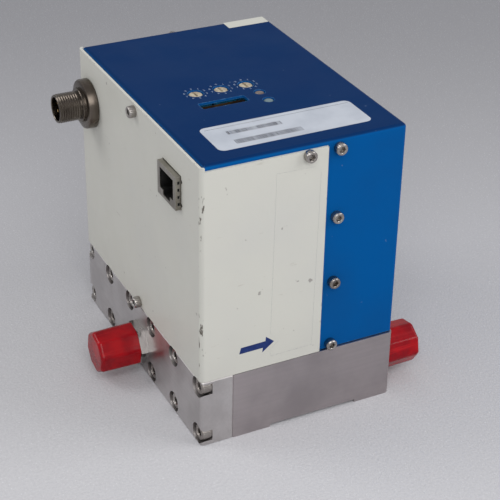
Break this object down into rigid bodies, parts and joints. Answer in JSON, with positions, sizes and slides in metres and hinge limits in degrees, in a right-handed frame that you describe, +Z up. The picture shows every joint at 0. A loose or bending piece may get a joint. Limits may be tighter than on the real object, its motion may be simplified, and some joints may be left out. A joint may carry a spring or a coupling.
{
  "type": "flow ratio controller",
  "caption": "Gas flow ratio controller: steel block with capped inlet and outlets under a folded blue and cream cover with address dials, network jack and round connector.",
  "frame": {"origin": "centre of the steel block's footprint, on its underside", "axes": "+X along the gas flow, from the inlet to the outlets; +Y from the front outlet to the rear outlet; +Z up"},
  "size_m": [0.1222, 0.1246, 0.1207],
  "materials": {
    "block_steel": "satin",
    "fitting_steel": "bright turned",
    "screw_steel": "satin",
    "frame_aluminium": "satin",
    "seal_rubber": "matte",
    "sensor_steel": "satin",
    "valve_steel": "satin",
    "coil_black": "matte",
    "cap_red": "glossy",
    "cover_blue": "satin paint",
    "cover_cream": "satin paint",
    "board_green": "satin",
    "dial_cream": "satin",
    "switch_black": "satin",
    "light_clear": "clear, unlit",
    "jack_metal": "tinned",
    "jack_black": "satin",
    "contact_gold": "gold plated",
    "connector_metal": "nickel",
    "connector_black": "matte"
  },
  "bodies": {
    "controller": {"board_standoffs": "screw_steel", "bypass_element_front": "fitting_steel", "bypass_element_rear": "fitting_steel", "clinch_nuts": "screw_steel", "connector_insert": "connector_black", "connector_nut": "connector_metal", "connector_pins": "contact_gold", "connector_shell": "connector_metal", "control_board": "board_green", "control_board_screws": "screw_steel", "flow_body": "block_steel", "front_post": "frame_aluminium", "inlet_block": "block_steel", "inlet_block_screws": "screw_steel", "inlet_block_seals": "seal_rubber", "inlet_fitting": "fitting_steel", "main_board": "board_green", "main_board_screws": "screw_steel", "main_cover": "cover_blue", "main_cover_screws": "screw_steel", "module_light": "light_clear", "network_jack_contacts": "contact_gold", "network_jack_insert": "jack_black", "network_jack_shield": "jack_metal", "network_light": "light_clear", "outlet_fitting_front": "fitting_steel", "outlet_fitting_rear": "fitting_steel", "rear_post": "frame_aluminium", "rotary_switch_bodies": "switch_black", "sensor_base_front": "sensor_steel", "sensor_base_rear": "sensor_steel", "sensor_can_front": "sensor_steel", "sensor_can_rear": "sensor_steel", "sensor_screws": "screw_steel", "sensor_seals": "seal_rubber", "sensor_tube_front": "sensor_steel", "sensor_tube_rear": "sensor_steel", "service_socket": "switch_black", "side_bracket": "frame_aluminium", "side_bracket_screws": "screw_steel", "side_cover": "cover_cream", "side_cover_screws": "screw_steel", "valve_body_front": "valve_steel", "valve_body_rear": "valve_steel", "valve_coil_front": "coil_black", "valve_coil_rear": "coil_black", "valve_nut_front": "valve_steel", "valve_nut_rear": "valve_steel", "valve_screws": "screw_steel", "valve_seals": "seal_rubber"},
    "inlet_cap": {"inlet_cap": "cap_red"},
    "outlet_cap_front": {"outlet_cap_front": "cap_red"},
    "outlet_cap_rear": {"outlet_cap_rear": "cap_red"},
    "rate_dial": {"rate_dial": "dial_cream"},
    "tens_dial": {"tens_dial": "dial_cream"},
    "ones_dial": {"ones_dial": "dial_cream"},
    "valve_plunger_front": {"valve_plunger_front": "valve_steel"},
    "valve_plunger_rear": {"valve_plunger_rear": "valve_steel"}
  },
  "joints": [
    {"name": "inlet_cap_pull", "type": "slide", "parent": "controller", "child": "inlet_cap", "axis": [-1, 0, 0], "range_m": [0, 0.02]},
    {"name": "outlet_cap_front_pull", "type": "slide", "parent": "controller", "child": "outlet_cap_front", "axis": [1, 0, 0], "range_m": [0, 0.02]},
    {"name": "outlet_cap_rear_pull", "type": "slide", "parent": "controller", "child": "outlet_cap_rear", "axis": [1, 0, 0], "range_m": [0, 0.02]},
    {"name": "rate_dial_turn", "type": "hinge", "parent": "controller", "child": "rate_dial", "pos_m": [-0.0178, -0.0024, 0.118], "axis": [0, 0, 1], "continuous": true},
    {"name": "tens_dial_turn", "type": "hinge", "parent": "controller", "child": "tens_dial", "pos_m": [-0.0072, -0.0024, 0.118], "axis": [0, 0, 1], "continuous": true},
    {"name": "ones_dial_turn", "type": "hinge", "parent": "controller", "child": "ones_dial", "pos_m": [0.0034, -0.0024, 0.118], "axis": [0, 0, 1], "continuous": true},
    {"name": "valve_plunger_front_lift", "type": "slide", "parent": "controller", "child": "valve_plunger_front", "axis": [0, 0, 1], "range_m": [0, 0.0003], "stiffness_N_per_m": 2000},
    {"name": "valve_plunger_rear_lift", "type": "slide", "parent": "controller", "child": "valve_plunger_rear", "axis": [0, 0, 1], "range_m": [0, 0.0003], "stiffness_N_per_m": 2000}
  ]
}
